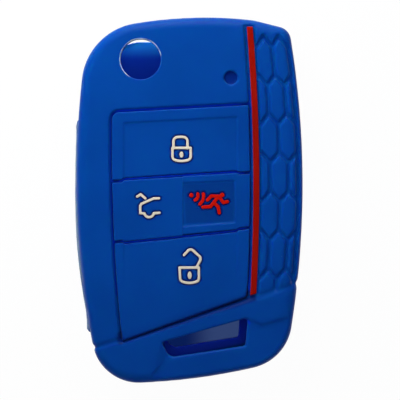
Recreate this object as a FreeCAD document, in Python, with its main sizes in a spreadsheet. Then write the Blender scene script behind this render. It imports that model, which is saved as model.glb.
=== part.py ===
import FreeCAD, Part
import math
import os

import Sketcher
from FreeCAD import Vector

# A soft key fob cover for a folding car key, without the key in it. It lies on its back, with the
# button face up: X runs across the cover, Y along it to the hinge end, and Z up through the face.
# The origin is the middle of the cover's box, on the surface that it lies on.
#
# The sleeve is one thin moulded wall round a hollow. Four button pads fill windows in its front
# wall and move down into the hollow. Icons and a stripe, each cured in its own colour, are set
# into the pads and into the sleeve.

SIZES = {
    # the sleeve's outline, seen from the front
    "body_length": 77.11,
    "body_width": 48.14,
    "left_bow_radius": 188.23,
    "left_bow_height": 5.04,
    "right_bow_radius": 191.95,
    "right_bow_height": 3.24,
    "top_bow_radius": 89.09,
    "top_crown_offset": 3.44,
    "top_left_corner": 13.33,
    "top_right_corner": 3.04,
    "shoulder_blend": 5.15,
    "shoulder_from_right": 11.3,
    "shoulder_fall": 3.1,
    "shoulder_run": 12.5,
    "bottom_bow_radius": 127.1,
    "bottom_crown_from_left": 9.1,
    "bottom_left_corner": 9.95,
    "bottom_right_corner": 10.51,
    # its depth, wall and edges
    "body_thickness": 18.6,
    "wall": 1.8,
    "front_round": 2.4,
    "back_round": 2.8,
    "least_round": 0.4,
    # the blade's way out: a lipped slot along the left side and an open hinge corner above it
    "lip_height": 0.37,
    "lip_from_top": 21.43,
    "lip_from_bottom": 10.39,
    "lip_ramp": 2.4,
    "lip_rim": 2.2,
    "lip_root": 4.39,
    "lip_round": 3.0,
    "lip_from_face": 3.1,
    "blade_slot_height": 6.6,
    "blade_slot_drop": 0.2,
    "blade_slot_round": 2.0,
    "hinge_rim": 3.25,
    "hinge_reach": 21.99,
    # the hole over the key's release button, and the thin spot over its lamp
    "release_hole_radius": 4.25,
    "release_from_left": 13.99,
    "release_from_top": 9.03,
    "lamp_dimple_radius": 1.45,
    "lamp_dimple_depth": 0.8,
    "lamp_from_right": 15.25,
    "lamp_from_top": 12.93,
    # the button panel
    "panel_from_left": 7.69,
    "panel_bow_radius": 400.0,
    "panel_bow_height": 12.03,
    "panel_from_top": 19.08,
    "panel_top_rise": 1.6,
    "panel_corner": 1.7,
    "lock_divider_rise": 1.9,
    "unlock_divider_rise": 3.1,
    "divider_jog": 0.35,
    "jog_from_left": 2.7,
    "jog_from_right": 2.9,
    "groove_width": 0.55,
    "groove_depth": 0.7,
    "pad_seam": 0.08,
    # the shallow finger rests on the pads
    "dish_depth": 0.22,
    "lock_dish_margin": 2.5,
    "panic_seam": 0.08,
    "panic_margin": 1.4,
    "panic_right_margin": 3.4,
    # the groove that runs round the sleeve above its slanted end
    "band_from_bottom": 13.84,
    "band_rise": 9.3,
    "band_width": 1.0,
    "band_depth": 0.4,
    # the coloured stripe
    "stripe_width": 1.25,
    "stripe_from_right": 9.9,
    "stripe_from_top": 2.23,
    "stripe_bow_height": 3.03,
    "stripe_left_gap": 0.68,
    "stripe_gap": 0.45,
    "stripe_proud": 0.06,
    # the honeycomb grip beside the stripe
    "grip_from_right": 1.15,
    "grip_first_row": 9.43,
    "cell_side": 5.85,
    "cell_point": 2.25,
    "grip_groove": 0.8,
    "grip_depth": 0.8,
    # the key ring slot and the hollow that runs from it to the sleeve's lower end
    "slot_from_right": 11.75,
    "slot_from_bottom": 7.99,
    "slot_length": 18.0,
    "slot_top_rise": 5.1,
    "slot_side_height": 5.85,
    "slot_side_lean": 0.4,
    "slot_bottom_run": 15.1,
    "slot_bottom_rise": 2.3,
    "slot_end_run": 1.2,
    "slot_end_rise": 0.5,
    "slot_back_step": 1.0,
    "scoop_depth": 0.45,
    "crease_run": 3.2,
    "crease_fall": 4.0,
    "scoop_right_run": 3.0,
    "scoop_right_fall": 1.4,
    "scoop_edge_run": 5.0,
    "scoop_edge_rise": 1.5,
    # the icons
    "icon_stroke": 0.52,
    "panic_stroke": 0.7,
    "icon_halo": 0.2,
    "icon_depth": 0.4,
    "icon_proud": 0.15,
    "lid_clearance": 0.2,
    # how far a cutting shape reaches past what it cuts
    "overrun": 2.0,
}

# Where the dividers lie on the panel, and how far down its pad the unlock pad's finger rest runs
LOCK_ZONE_SHARE = 0.3288
MIDDLE_ZONE_SHARE = 0.27345
PANIC_ZONE_SHARE = 0.4869
UNLOCK_DISH_SHARE = 0.682

# Where the honeycomb's cells stand across the grip, in every other row, and half a cell's width
PAIR_ROW_SHARES = (0.25, 0.75)
SINGLE_ROW_SHARES = (0.0, 0.5, 1.0)
HALF_CELL_SHARE = 0.25

# An icon's middle, as shares of its pad's width and height, and its size as a share of the one
# that it follows: the height for a padlock, the width for the others
LOCK_ICON_SHARES = (0.5038, 0.3986)
LOCK_ICON_SIZE_SHARE = 0.3849
UNLOCK_ICON_SHARES = (0.56466, 0.6278)
UNLOCK_ICON_SIZE_SHARE = 0.4545
TRUNK_ICON_SHARES = (0.5404, 0.4959)
TRUNK_ICON_SIZE_SHARE = 0.3328
PANIC_ICON_SHARES = (0.3733, 0.5413)
PANIC_ICON_SIZE_SHARE = 0.5833

# Icon lines, as shares of the icon's height or width, from its middle. A line is a run of points;
# the bows give the radius share of the runs that are arcs, by the number of the run's first point.
LOCK_SHACKLE_SHARES = [
    (-0.298, 0.019), (-0.298, 0.29), (-0.15, 0.44), (0.08, 0.44), (0.228, 0.29), (0.228, 0.019),
]
LOCK_SHACKLE_BOW_SHARES = {1: -0.16, 2: -0.9, 3: -0.16}
LOCK_BODY_SHARES = [
    (-0.335, 0.035), (-0.335, -0.31), (-0.22, -0.425), (0.23, -0.425), (0.345, -0.31), (0.345, 0.035),
]
LOCK_BODY_BOW_SHARES = {1: 0.15, 2: 0.8, 3: 0.15}
LOCK_KEYHOLE_SHARES = (0.0, -0.213)
LOCK_KEYHOLE_RADIUS_SHARES = (0.073, 0.114)

UNLOCK_SHACKLE_SHARES = [
    (-0.159, 0.272), (-0.055, 0.386), (0.078, 0.394), (0.243, 0.243), (0.2585, 0.115), (0.17, -0.05),
]
UNLOCK_SHACKLE_BOW_SHARES = {1: -0.094, 3: -0.099}
UNLOCK_BODY_SHARES = [
    (-0.274, -0.058), (-0.26, -0.345), (-0.185, -0.43), (0.15, -0.43), (0.232, -0.345), (0.232, -0.058),
]
UNLOCK_BODY_BOW_SHARES = {1: 0.11, 2: 0.5, 3: 0.11}
UNLOCK_KEYHOLE_SHARES = (-0.0104, -0.2585)
UNLOCK_KEYHOLE_RADIUS_SHARES = (0.0535, 0.1005)

TRUNK_LID_SHARES = [(-0.5125, 0.2325), (-0.371, 0.3245), (-0.175, 0.1575)]
TRUNK_CAR_SHARES = [
    (0.392, 0.3), (0.171, 0.292), (-0.096, 0.179), (-0.329, 0.075), (-0.3875, -0.0125),
    (-0.383, -0.3125), (-0.2125, -0.329), (0.183, -0.321), (0.4125, -0.3),
]
TRUNK_CAR_BOW_SHARES = {6: 0.203}

PANIC_DOT_SHARES = (-0.4275, 0.1925)
PANIC_DOT_RADIUS_SHARE = 0.0525
PANIC_WAVE_INNER_SHARES = [(-0.33, 0.0725), (-0.265, 0.225)]
PANIC_WAVE_INNER_BOW_SHARES = {0: 0.128}
PANIC_WAVE_OUTER_SHARES = [(-0.215, -0.03), (-0.125, 0.225)]
PANIC_WAVE_OUTER_BOW_SHARES = {0: 0.26}
RUNNER_REAR_ARM_SHARES = [(-0.0225, 0.0725), (0.0775, 0.175), (0.2575, 0.1675)]
RUNNER_REAR_LEG_SHARES = [(0.2575, 0.1675), (0.13, 0.0075), (0.0525, -0.0925), (-0.1375, -0.105)]
RUNNER_FRONT_ARM_SHARES = [(0.2575, 0.1675), (0.3725, 0.0075), (0.4725, 0.035)]
RUNNER_FRONT_LEG_SHARES = [(0.13, 0.0075), (0.245, -0.0925), (0.27, -0.2475)]
RUNNER_HEAD_SHARES = (0.345, 0.2)
RUNNER_HEAD_REACH_SHARE = 0.0981


class Dim:
    """A length: its value in millimetres and the expression over the sheet that gives it."""

    def __init__(self, value, text):
        self.value = value
        self.text = text

    @staticmethod
    def of(other):
        return other if isinstance(other, Dim) else Dim(float(other), repr(float(other)))

    def __add__(self, other):
        other = Dim.of(other)
        return Dim(self.value + other.value, f"({self.text} + {other.text})")

    def __radd__(self, other):
        return Dim.of(other) + self

    def __sub__(self, other):
        other = Dim.of(other)
        return Dim(self.value - other.value, f"({self.text} - {other.text})")

    def __rsub__(self, other):
        return Dim.of(other) - self

    def __mul__(self, other):
        other = Dim.of(other)
        return Dim(self.value * other.value, f"({self.text} * {other.text})")

    def __rmul__(self, other):
        return Dim.of(other) * self

    def __truediv__(self, other):
        other = Dim.of(other)
        return Dim(self.value / other.value, f"({self.text} / {other.text})")

    def __neg__(self):
        return Dim(-self.value, f"(0 - {self.text})")

    def at_least(self, other):
        return Dim(max(self.value, other.value), f"max({self.text}; {other.text})")


class Sizes:
    """The named sizes, each read back from the sheet as a Dim."""

    def __init__(self, sheet, names):
        for name in names:
            setattr(self, name, Dim(float(sheet.get(name)), f"{sheet.Name}.{name}"))


doc = FreeCAD.newDocument("key_fob_cover")
sheet = doc.addObject("Spreadsheet::Sheet", "Sizes")
for row, (alias, value) in enumerate(SIZES.items(), start=1):
    sheet.set(f"A{row}", alias)
    sheet.set(f"B{row}", str(value))
    sheet.setAlias(f"B{row}", alias)
doc.recompute()
size = Sizes(sheet, SIZES)

ZERO = Dim.of(0)
TOP = size.body_length / 2
BOTTOM = -TOP
RIGHT = size.body_width / 2
LEFT = -RIGHT
FACE = size.body_thickness
FACE_INSIDE = FACE - size.wall
BLADE_LEVEL = FACE / 2 - size.blade_slot_drop


# Drawing helpers

def bind(item, prop, dim):
    """Tie one property of an object to the sheet."""
    item.setExpression(prop, dim.text)


def lift(item, z):
    """Tie an object's height to the sheet."""
    bind(item, "Placement.Base.z", z)


def place(item, x, y, z):
    """Tie an object's place to the sheet."""
    for axis, dim in zip("xyz", (x, y, z)):
        bind(item, f"Placement.Base.{axis}", dim)


def run_edge(start, end, radius):
    """A straight run, or an arc that bulges right of its direction (left if radius is negative)."""
    if radius is None:
        return Part.LineSegment(start, end)
    chord = end - start
    side = Vector(-chord.y, chord.x, 0).normalize()
    reach = math.sqrt(max(radius * radius - (chord.Length / 2) ** 2, 0))
    centre = (start + end) * 0.5 + side * math.copysign(reach, radius)
    first, last = (start, end) if radius > 0 else (end, start)
    angles = [math.atan2(p.y - centre.y, p.x - centre.x) for p in (first, last)]
    return Part.ArcOfCircle(Part.Circle(centre, Vector(0, 0, 1), abs(radius)), *angles)


def draw(sketch, points, bows=None, closed=True):
    """Draw a run of points, each tied to the sheet in x and y, with the bowed runs as arcs."""
    bows = bows or {}
    spots = [Vector(x.value, y.value, 0) for x, y in points]
    count = len(points) if closed else len(points) - 1
    starts, ends = [], []
    for i in range(count):
        radius = bows.get(i)
        sketch.addGeometry(run_edge(spots[i], spots[(i + 1) % len(spots)],
                                    radius.value if radius else None), False)
        turned = radius is not None and radius.value < 0
        starts.append((i, 2 if turned else 1))
        ends.append((i, 1 if turned else 2))
    for i in range(count if closed else count - 1):
        sketch.addConstraint(Sketcher.Constraint("Coincident", *ends[i], *starts[(i + 1) % count]))
    for i, (x, y) in enumerate(points):
        spot = starts[i] if i < count else ends[-1]
        for kind, dim in (("DistanceX", x), ("DistanceY", y)):
            number = sketch.addConstraint(Sketcher.Constraint(kind, -1, 1, *spot, dim.value))
            bind(sketch, f"Constraints[{number}]", dim)
    for i, radius in bows.items():
        number = sketch.addConstraint(Sketcher.Constraint("Radius", i, abs(radius.value)))
        bind(sketch, f"Constraints[{number}]", radius if radius.value > 0 else -radius)


def new_body(name):
    """A body, with a sketch on its XY plane."""
    body = doc.addObject("PartDesign::Body", name)
    sketch = body.newObject("Sketcher::SketchObject", f"{name}_outline")
    plane = next(f for f in body.Origin.OriginFeatures if f.Role == "XY_Plane")
    sketch.AttachmentSupport = [(plane, "")]
    sketch.MapMode = "FlatFace"
    return body, sketch


def pad_up(body, sketch, low, high):
    """Raise a body's sketch from one height to another."""
    bind(sketch, "AttachmentOffset.Base.z", low)
    pad = body.newObject("PartDesign::Pad", f"{body.Name}_pad")
    pad.Profile = sketch
    bind(pad, "Length", high - low)
    doc.recompute()
    return pad


def round_edges(body, base, wanted, radius):
    """Round the edges of a body's last feature that the test picks."""
    names = [f"Edge{i}" for i, edge in enumerate(base.Shape.Edges, start=1) if wanted(edge)]
    fillet = body.newObject("PartDesign::Fillet", f"{body.Name}_round")
    fillet.Base = (base, names)
    bind(fillet, "Radius", radius)
    doc.recompute()
    return fillet


def edges_at_height(z):
    """A test for the edges that lie at one height."""
    return lambda edge: all(math.isclose(v.Z, z.value, abs_tol=1e-4) for v in edge.Vertexes)


def round_corner(body, base, corner, radius):
    """Round the upright edge of a body nearest to a corner of its outline."""
    def gap(edge):
        a, b = edge.Vertexes[0].Point, edge.Vertexes[-1].Point
        leans = math.hypot(a.x - b.x, a.y - b.y) > abs(a.z - b.z)
        return math.inf if leans else math.hypot(a.x - corner[0].value, a.y - corner[1].value)

    nearest = min(gap(edge) for edge in base.Shape.Edges)
    return round_edges(body, base, lambda edge: gap(edge) == nearest, radius)


def prism(name, points, low, high, bows=None):
    """A straight block of the given outline."""
    body, sketch = new_body(name)
    draw(sketch, points, bows)
    pad_up(body, sketch, low, high)
    return body


def cut(name, base, *tools):
    """Cut a row of tools from a solid, one after another."""
    for number, tool in enumerate(tools):
        step = doc.addObject("Part::Cut", f"{name}_{number}")
        step.Base, step.Tool = base, tool
        base = step
    doc.recompute()
    return base


def fuse(name, *shapes):
    """Join solids into one."""
    joined = doc.addObject("Part::MultiFuse", name)
    joined.Shapes = list(shapes)
    joined.Refine = True
    doc.recompute()
    return joined


def finish(item, label):
    """Give a finished sub-part its name."""
    item.Label = label
    SUB_PARTS.append(item)


SUB_PARTS = []


# The sleeve's form

def leg(longest, other):
    """The third side of a right-angled triangle."""
    return math.sqrt(longest ** 2 - other ** 2)


def circles_meet(first, first_radius, second, second_radius):
    """The two places at the given distances from two middles."""
    gap = second - first
    along = (gap.Length ** 2 + first_radius ** 2 - second_radius ** 2) / (2 * gap.Length)
    aside = leg(first_radius, along)
    axis = Vector(gap).normalize()
    foot = first + axis * along
    side = Vector(-axis.y, axis.x, 0)
    return foot + side * aside, foot - side * aside


def line_meets_circle(normal, distance, middle, radius):
    """The two places on a line that are the given radius from a middle."""
    offset = distance - normal.dot(middle)
    aside = leg(radius, offset)
    along = Vector(-normal.y, normal.x, 0)
    foot = middle + normal * offset
    return foot + along * aside, foot - along * aside


def outline_arcs():
    """The outline's middles and directions, from the sheet's values.

    Four bowed sides meet in rounded corners, and the shoulder at the upper right is straight.
    """
    left = Vector((LEFT + size.lip_height + size.left_bow_radius).value, size.left_bow_height.value, 0)
    right = Vector((RIGHT - size.right_bow_radius).value, size.right_bow_height.value, 0)
    top = Vector(size.top_crown_offset.value, (TOP - size.top_bow_radius).value, 0)
    left_radius, right_radius = size.left_bow_radius.value, size.right_bow_radius.value
    top_radius = size.top_bow_radius.value

    corner = size.top_left_corner.value
    top_left = min(circles_meet(left, left_radius - corner, top, top_radius - corner), key=lambda p: -p.y)
    fall = math.atan2(size.shoulder_fall.value, size.shoulder_run.value)
    shoulder = Vector(math.sin(fall), math.cos(fall), 0)
    blend = size.shoulder_blend.value
    across = (RIGHT - size.shoulder_from_right).value
    blended = Vector(across, top.y + leg(top_radius - blend, across - top.x), 0)
    reach = shoulder.dot(blended) + blend
    corner = size.top_right_corner.value
    top_right = max(line_meets_circle(shoulder, reach - corner, right, right_radius - corner),
                    key=lambda p: p.x)
    corner = size.bottom_left_corner.value
    height = (BOTTOM + size.bottom_left_corner).value
    bottom_left = Vector(left.x - leg(left_radius - corner, height - left.y), height, 0)
    bottom_radius = size.bottom_bow_radius.value
    across = (LEFT + size.bottom_crown_from_left).value
    bottom = Vector(across, height + leg(bottom_radius - corner, across - bottom_left.x), 0)
    corner = size.bottom_right_corner.value
    bottom_right = min(circles_meet(right, right_radius - corner, bottom, bottom_radius - corner),
                       key=lambda p: p.y)
    return left, right, top, bottom, top_left, top_right, blended, bottom_left, bottom_right, shoulder


def draw_outline(sketch, inset):
    """Draw the sleeve's outline, drawn in all round by the inset, tied to the sheet."""
    (left, right, top, bottom, top_left, top_right, blended, bottom_left, bottom_right,
     shoulder) = outline_arcs()
    inner = {name: getattr(size, name) - inset for name in (
        "left_bow_radius", "right_bow_radius", "top_bow_radius", "bottom_bow_radius", "top_left_corner",
        "top_right_corner", "shoulder_blend", "bottom_left_corner", "bottom_right_corner")}

    def on_circle(middle, towards, radius):
        return middle + Vector(towards - middle).normalize() * radius.value

    low_left = on_circle(bottom, bottom_left, inner["bottom_bow_radius"])
    low_right = on_circle(bottom, bottom_right, inner["bottom_bow_radius"])
    right_low = on_circle(right, bottom_right, inner["right_bow_radius"])
    right_high = on_circle(right, top_right, inner["right_bow_radius"])
    shoulder_right = top_right + shoulder * inner["top_right_corner"].value
    shoulder_left = blended + shoulder * inner["shoulder_blend"].value
    top_end = on_circle(top, blended, inner["top_bow_radius"])
    top_start = on_circle(top, top_left, inner["top_bow_radius"])
    left_high = on_circle(left, top_left, inner["left_bow_radius"])
    left_low = on_circle(left, bottom_left, inner["left_bow_radius"])

    def arc(middle, name, start, end):
        angles = [math.atan2(p.y - middle.y, p.x - middle.x) for p in (start, end)]
        return Part.ArcOfCircle(Part.Circle(middle, Vector(0, 0, 1), inner[name].value), *angles)

    runs = [
        ("bottom_bow_radius", arc(bottom, "bottom_bow_radius", low_left, low_right)),
        ("bottom_right_corner", arc(bottom_right, "bottom_right_corner", low_right, right_low)),
        ("right_bow_radius", arc(right, "right_bow_radius", right_low, right_high)),
        ("top_right_corner", arc(top_right, "top_right_corner", right_high, shoulder_right)),
        (None, Part.LineSegment(shoulder_left, shoulder_right)),
        ("shoulder_blend", arc(blended, "shoulder_blend", shoulder_left, top_end)),
        ("top_bow_radius", arc(top, "top_bow_radius", top_end, top_start)),
        ("top_left_corner", arc(top_left, "top_left_corner", top_start, left_high)),
        ("left_bow_radius", arc(left, "left_bow_radius", left_high, left_low)),
        ("bottom_left_corner", arc(bottom_left, "bottom_left_corner", left_low, low_left)),
    ]
    names = [name for name, _ in runs]
    sketch.addGeometry([edge for _, edge in runs], False)
    backwards = 4
    ends = [(i, 1, 2) if i != backwards else (i, 2, 1) for i in range(len(runs))]
    for (i, _, end), (k, start, _) in zip(ends, ends[1:] + ends[:1]):
        sketch.addConstraint(Sketcher.Constraint("Tangent", i, end, k, start))

    def hold(kind, dim, *where):
        number = sketch.addConstraint(Sketcher.Constraint(kind, *where, dim.value))
        bind(sketch, f"Constraints[{number}]", dim)

    for i, name in enumerate(names):
        if name:
            hold("Radius", inner[name], i)
    middles = {
        "right_bow_radius": (RIGHT - size.right_bow_radius, size.right_bow_height),
        "top_bow_radius": (size.top_crown_offset, TOP - size.top_bow_radius),
        "left_bow_radius": (LEFT + size.lip_height + size.left_bow_radius, size.left_bow_height),
        "shoulder_blend": (RIGHT - size.shoulder_from_right, None),
        "bottom_left_corner": (None, BOTTOM + size.bottom_left_corner),
        "bottom_bow_radius": (LEFT + size.bottom_crown_from_left, None),
    }
    for name, middle in middles.items():
        for kind, dim in zip(("DistanceX", "DistanceY"), middle):
            if dim:
                hold(kind, dim, -1, 1, names.index(name), 3)
    fall, run = -size.shoulder_fall, size.shoulder_run
    number = sketch.addConstraint(
        Sketcher.Constraint("Angle", backwards, math.atan2(fall.value, run.value)))
    sketch.setExpression(f"Constraints[{number}]", f"atan({fall.text} / {run.text})")


def form(name, inset, low, high, front_round=None, back_round=None):
    """The sleeve's form, drawn in all round by the inset, with rounded front and back edges."""
    body, sketch = new_body(name)
    draw_outline(sketch, inset)
    last = pad_up(body, sketch, low, high)
    if front_round:
        last = round_edges(body, last, edges_at_height(high), front_round)
    if back_round:
        last = round_edges(body, last, edges_at_height(low), back_round)
    return body


def skin(name, depth):
    """The sleeve's form without its outer skin, so that a cut can keep to one depth."""
    return form(name, depth, depth, FACE - depth,
                (size.front_round - depth).at_least(size.least_round),
                (size.back_round - depth).at_least(size.least_round))


def skin_cut(name, block, depth):
    """A block's share of the sleeve's outer skin, to cut away."""
    return cut(name, block, skin(f"{name}_skin", depth))


# Lines on the button face

STRIPE = RIGHT - size.stripe_from_right
STRIPE_LEFT = STRIPE - size.stripe_width / 2
STRIPE_RIGHT = STRIPE + size.stripe_width / 2
PANEL_LEFT = LEFT + size.panel_from_left
HALF_GROOVE = size.groove_width / 2
PANEL_RIGHT = STRIPE_LEFT - size.stripe_left_gap + HALF_GROOVE
PANEL_WIDTH = PANEL_RIGHT - PANEL_LEFT
JOG_LEFT = PANEL_LEFT + size.jog_from_left
JOG_RIGHT = PANEL_RIGHT - size.jog_from_right
PANIC_LEFT = PANEL_RIGHT - PANEL_WIDTH * PANIC_ZONE_SHARE


class Slant:
    """A line across the panel, given by its height at the middle and its rise over the panel."""

    def __init__(self, middle, rise):
        self.middle = middle
        self.rise = rise

    def at(self, x):
        return self.middle + self.rise * x / PANEL_WIDTH


PANEL_TOP = Slant(TOP - size.panel_from_top, size.panel_top_rise)
BAND = Slant(BOTTOM + size.band_from_bottom, size.band_rise)
PANEL_HEIGHT = PANEL_TOP.middle - BAND.middle
LOCK_HEIGHT = PANEL_HEIGHT * LOCK_ZONE_SHARE
MIDDLE_HEIGHT = PANEL_HEIGHT * MIDDLE_ZONE_SHARE
UNLOCK_HEIGHT = PANEL_HEIGHT - LOCK_HEIGHT - MIDDLE_HEIGHT
LOCK_DIVIDER = Slant(PANEL_TOP.middle - LOCK_HEIGHT, size.lock_divider_rise)
UNLOCK_DIVIDER = Slant(LOCK_DIVIDER.middle - MIDDLE_HEIGHT, size.unlock_divider_rise)
UNLOCK_DISH_HEIGHT = UNLOCK_HEIGHT * UNLOCK_DISH_SHARE


def bow(y, widest):
    """How far a bowed upright line has drawn in at a height, from its widest place."""
    return (y - widest) * (y - widest) / (size.panel_bow_radius * 2)


def panel_left(y):
    return PANEL_LEFT + bow(y, size.panel_bow_height)


def along_stripe(x, y):
    """The place at a height on a line that runs along the stripe."""
    return x - bow(y, size.stripe_bow_height)


def panel_line(slant, shift, grow, jog=None):
    """A line across the panel from left to right, with its middle stretch stepped by the jog."""
    left_height = slant.at(PANEL_LEFT) + shift
    right_height = slant.at(PANEL_RIGHT) + shift
    points = [(panel_left(left_height) - grow, left_height)]
    if jog:
        half_step = size.divider_jog / 2
        points += [
            (JOG_LEFT - half_step, slant.at(JOG_LEFT) + shift),
            (JOG_LEFT + half_step, slant.at(JOG_LEFT) + shift + jog),
            (JOG_RIGHT - half_step, slant.at(JOG_RIGHT) + shift + jog),
            (JOG_RIGHT + half_step, slant.at(JOG_RIGHT) + shift),
        ]
    points.append((along_stripe(PANEL_RIGHT, right_height) + grow, right_height))
    return points


def zone(name, low_line, high_line, low, high, corner=None, left_side=True, right_side=True):
    """A block between two lines of the panel, whose outer sides follow the panel's bowed sides."""
    points = low_line + high_line[::-1]
    bows = {}
    if right_side:
        bows[len(low_line) - 1] = size.panel_bow_radius
    if left_side:
        bows[len(points) - 1] = size.panel_bow_radius
    body, sketch = new_body(name)
    draw(sketch, points, bows)
    pad = pad_up(body, sketch, low, high)
    if corner:
        round_corner(body, pad, high_line[0], corner)
    return body


def lock_zone(name, grow, low, high):
    """The top zone of the panel, grown on every side."""
    return zone(name, panel_line(LOCK_DIVIDER, -grow, grow, size.divider_jog),
                panel_line(PANEL_TOP, grow, grow), low, high, size.panel_corner + grow)


def middle_lines(grow):
    """The lower and upper lines of the middle zone."""
    return (panel_line(UNLOCK_DIVIDER, -grow, grow, -size.divider_jog),
            panel_line(LOCK_DIVIDER, grow, grow, size.divider_jog))


def middle_zone(name, grow, low, high):
    """The middle zone of the panel."""
    return zone(name, *middle_lines(grow), low, high)


def unlock_zone(name, grow, low, high):
    """The lowest zone of the panel, down to the band."""
    return zone(name, panel_line(BAND, -grow, grow),
                panel_line(UNLOCK_DIVIDER, grow, grow, -size.divider_jog), low, high)


def middle_line_height(slant, grow, jog):
    """The height of a middle zone line where the two middle pads meet."""
    return slant.at(PANIC_LEFT) + grow + jog


def trunk_zone(name, grow, low, high):
    """The left part of the middle zone."""
    low_line, high_line = middle_lines(grow)
    end = PANIC_LEFT - size.panic_seam / 2
    low_end = (end, middle_line_height(UNLOCK_DIVIDER, -grow, -size.divider_jog))
    high_end = (end, middle_line_height(LOCK_DIVIDER, grow, size.divider_jog))
    return zone(name, low_line[:3] + [low_end], high_line[:3] + [high_end], low, high, right_side=False)


def panic_zone(name, grow, low, high):
    """The right part of the middle zone."""
    low_line, high_line = middle_lines(grow)
    start = PANIC_LEFT + size.panic_seam / 2
    low_start = (start, middle_line_height(UNLOCK_DIVIDER, -grow, -size.divider_jog))
    high_start = (start, middle_line_height(LOCK_DIVIDER, grow, size.divider_jog))
    return zone(name, [low_start] + low_line[3:], [high_start] + high_line[3:], low, high, left_side=False)


# Icons

class Icon:
    """An icon's lines on a pad: the inlaid pieces, and the recesses that they sit in.

    A piece stands on the floor of its recess, which is wider than it by the halo all round.
    """

    def __init__(self, name, pad_corner, pad_size, middle_shares, unit, surface, stroke=size.icon_stroke):
        self.name = name
        self.half_stroke = stroke / 2
        self.across, self.up = (start + length * share for start, length, share
                                in zip(pad_corner, pad_size, middle_shares))
        self.unit = unit
        self.floor = surface - size.icon_depth
        self.crest = surface + size.icon_proud
        self.recess_top = surface + size.overrun
        self.recesses = []

    def spots(self, shares):
        return [(self.across + self.unit * x, self.up + self.unit * y) for x, y in shares]

    def raise_face(self, name, face, top):
        solid = doc.addObject("Part::Extrusion", name)
        solid.Base = face
        solid.DirMode = "Custom"
        solid.Dir = Vector(0, 0, 1)
        solid.Solid = True
        bind(solid, "LengthFwd", top - self.floor)
        return solid

    def band_along(self, name, sketch, half_width, closed, top):
        """A band of one width along a drawn line: both sides of a loop, or round an open line."""
        sides = []
        for side in ((half_width, -half_width) if closed else (half_width,)):
            ribbon = doc.addObject("Part::Offset2D", f"{name}_ribbon")
            ribbon.Source = sketch
            ribbon.Mode = "Pipe"
            ribbon.Fill = closed
            bind(ribbon, "Value", side)
            sides.append(self.raise_face(f"{name}_side", ribbon, top))
        return fuse(f"{name}_band", *sides) if closed else sides[0]

    def line(self, name, shares, bow_shares=None, closed=False, lifted=ZERO):
        """One inlaid line, lifted clear of another; its recess is kept for the pad."""
        sketch = doc.addObject("Sketcher::SketchObject", f"{self.name}_{name}_line")
        bows = {i: self.unit * share for i, share in (bow_shares or {}).items()}
        draw(sketch, [(x, y + lifted) for x, y in self.spots(shares)], bows, closed)
        lift(sketch, self.floor)
        label = f"{self.name}_{name}"
        self.recesses.append(self.band_along(f"{label}_recess", sketch, self.half_stroke + size.icon_halo,
                                             closed, self.recess_top))
        return self.band_along(label, sketch, self.half_stroke, closed, self.crest)

    def oval(self, name, spot_shares, radius_shares):
        """One inlaid upright oval; its recess is kept for the pad."""
        (x, y), = self.spots([spot_shares])
        wide, tall = (self.unit * share for share in radius_shares)
        solids = []
        for label, extra, top in (("recess", size.icon_halo, self.recess_top), ("oval", ZERO, self.crest)):
            ring = doc.addObject("Part::Ellipse", f"{self.name}_{name}_{label}_ring")
            ring.Placement.Rotation = FreeCAD.Rotation(Vector(0, 0, 1), 90)
            bind(ring, "MajorRadius", tall + extra)
            bind(ring, "MinorRadius", wide + extra)
            place(ring, x, y, self.floor)
            solids.append(self.raise_face(f"{self.name}_{name}_{label}", ring, top))
        self.recesses.append(solids[0])
        return solids[1]

    def dot(self, name, spot_shares, radius):
        """One inlaid dot; its recess is kept for the pad."""
        (x, y), = self.spots([spot_shares])
        solids = []
        for label, extra, top in (("recess", size.icon_halo, self.recess_top), ("dot", ZERO, self.crest)):
            disc = doc.addObject("Part::Cylinder", f"{self.name}_{name}_{label}")
            bind(disc, "Radius", radius + extra)
            bind(disc, "Height", top - self.floor)
            place(disc, x, y, self.floor)
            solids.append(disc)
        self.recesses.append(solids[0])
        return solids[1]


def make_lock_icon(surface):
    """A closed padlock with a keyhole."""
    icon = Icon("lock", (PANEL_LEFT, LOCK_DIVIDER.middle), (PANEL_WIDTH, LOCK_HEIGHT), LOCK_ICON_SHARES,
                LOCK_HEIGHT * LOCK_ICON_SIZE_SHARE, surface)
    shackle = icon.line("shackle", LOCK_SHACKLE_SHARES, LOCK_SHACKLE_BOW_SHARES)
    case = icon.line("case", LOCK_BODY_SHARES, LOCK_BODY_BOW_SHARES, closed=True)
    finish(fuse("lock_padlock", shackle, case), "lock_icon_padlock")
    finish(icon.oval("keyhole", LOCK_KEYHOLE_SHARES, LOCK_KEYHOLE_RADIUS_SHARES), "lock_icon_keyhole")
    return icon


def make_unlock_icon(surface):
    """An open padlock with a keyhole."""
    icon = Icon("unlock", (PANEL_LEFT, BAND.middle), (PANEL_WIDTH, UNLOCK_HEIGHT), UNLOCK_ICON_SHARES,
                UNLOCK_HEIGHT * UNLOCK_ICON_SIZE_SHARE, surface)
    shackle = icon.line("shackle", UNLOCK_SHACKLE_SHARES, UNLOCK_SHACKLE_BOW_SHARES)
    case = icon.line("case", UNLOCK_BODY_SHARES, UNLOCK_BODY_BOW_SHARES, closed=True)
    finish(fuse("unlock_padlock", shackle, case), "unlock_icon_padlock")
    finish(icon.oval("keyhole", UNLOCK_KEYHOLE_SHARES, UNLOCK_KEYHOLE_RADIUS_SHARES), "unlock_icon_keyhole")
    return icon


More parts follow.
